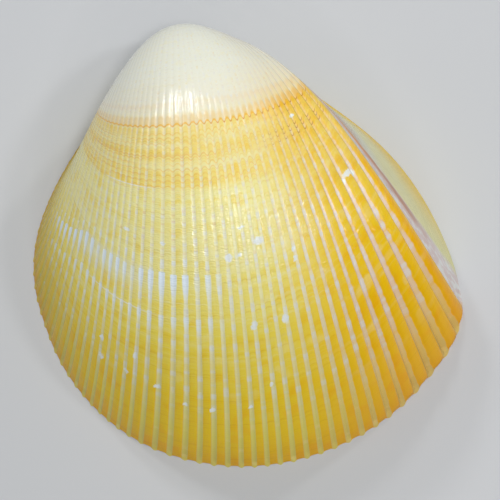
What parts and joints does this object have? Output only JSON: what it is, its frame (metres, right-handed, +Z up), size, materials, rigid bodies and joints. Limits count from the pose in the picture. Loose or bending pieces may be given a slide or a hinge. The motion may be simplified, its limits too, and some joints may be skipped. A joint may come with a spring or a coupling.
{
  "type": "cockle shell valve",
  "caption": "Single left valve of a ribbed cockle shell, a domed oval bowl lying open side down on its flat rim, with a smooth rear slope.",
  "frame": {"origin": "centre of the valve's footprint, on the plane of its rim", "axes": "+Z up through the dome, -Y to the lower edge away from the hinge, +X to the rear end"},
  "size_m": [0.0584, 0.0614, 0.0262],
  "materials": {
    "shell": "satin, yellow ribs with pale grooves, cream at the beak"
  },
  "bodies": {
    "root": {"left_valve": "shell"}
  },
  "joints": []
}
